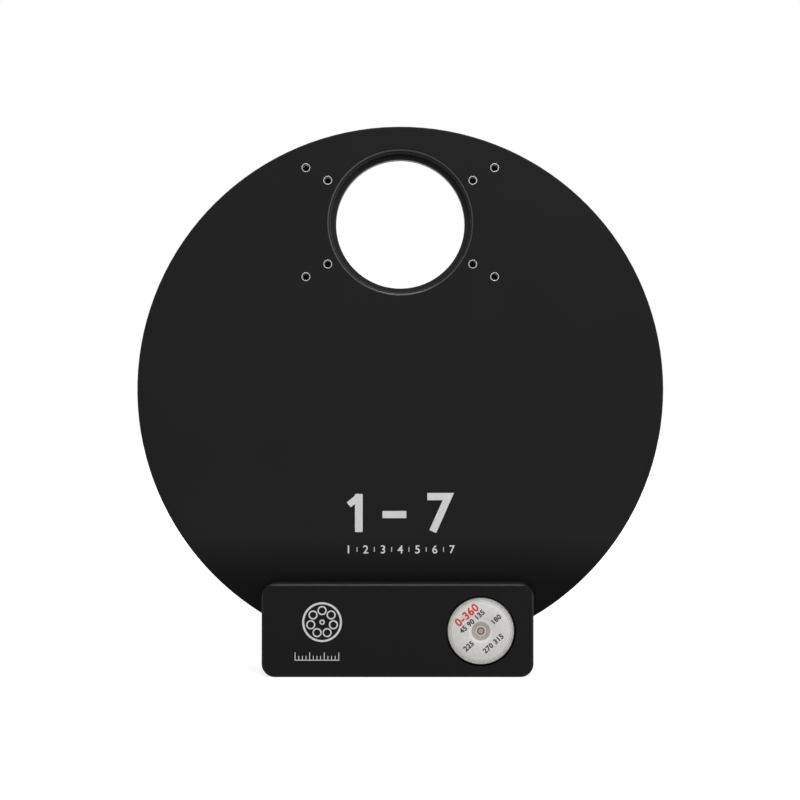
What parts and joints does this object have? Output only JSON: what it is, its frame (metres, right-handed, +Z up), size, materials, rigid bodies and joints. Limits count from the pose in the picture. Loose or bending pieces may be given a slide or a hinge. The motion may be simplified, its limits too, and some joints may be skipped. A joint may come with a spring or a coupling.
{
  "type": "optical filter wheel",
  "caption": "Motorised optical filter wheel: a flat round case with threaded light apertures and a geared carousel inside, on a box that holds the motor and controller.",
  "frame": {"origin": "on the optical axis, in the plane of the front mounting face", "axes": "+X to the right seen from the front, +Y from the front mounting face towards the rear cover, +Z up; the front faces -Y and the foot of the box faces -Z"},
  "size_m": [0.198, 0.0285, 0.2058],
  "materials": {
    "black_anodised_aluminium": "black anodised, fine bead-blasted",
    "stainless_steel": "bright turned",
    "zinc_steel": "zinc plated",
    "bronze": "sintered bronze",
    "white_nylon": "matt",
    "magnet_nickel": "nickel plated",
    "brass_gear": "hobbed",
    "black_plastic": "matt moulded",
    "white_connector": "moulded nylon",
    "circuit_board": "solder mask",
    "wire_insulation": "PVC"
  },
  "bodies": {
    "housing": {"front_housing": "black_anodised_aluminium", "rear_cover": "black_anodised_aluminium", "motor_box_cover": "black_anodised_aluminium", "axle_shoulder_screw": "zinc_steel", "thrust_washer": "white_nylon", "motor_can": "zinc_steel", "motor_flange": "zinc_steel", "motor_rear_bush": "bronze", "motor_terminal_block": "white_connector", "motor_ribbon": "wire_insulation", "controller_board": "circuit_board", "board_spacers": "white_nylon", "usb_socket_shell": "magnet_nickel", "usb_socket_tongue": "white_connector", "microcontroller": "black_plastic", "motor_driver_chip": "black_plastic", "motor_connector": "white_connector", "sensor_connector": "white_connector", "sensor_board": "circuit_board", "hall_sensor": "black_plastic", "sensor_ribbon": "wire_insulation", "crystal": "zinc_steel", "tantalum_capacitor": "black_plastic", "chip_capacitors": "white_connector"},
    "carousel": {"filter_carousel": "black_anodised_aluminium", "hub_bush": "bronze", "index_magnets": "magnet_nickel"},
    "rotor": {"motor_shaft": "stainless_steel", "drive_pinion": "brass_gear"}
  },
  "joints": [
    {"name": "carousel_spin", "type": "hinge", "parent": "housing", "child": "carousel", "pos_m": [0, 0.01, -0.063], "axis": [0, 1, 0], "continuous": true},
    {"name": "pinion_spin", "type": "hinge", "parent": "housing", "child": "rotor", "pos_m": [0.0299, 0.01, -0.15265], "axis": [0, 1, 0], "continuous": true}
  ],
  "couplings": [
    {"joint": "pinion_spin", "follows": "carousel_spin", "ratio": -20}
  ]
}
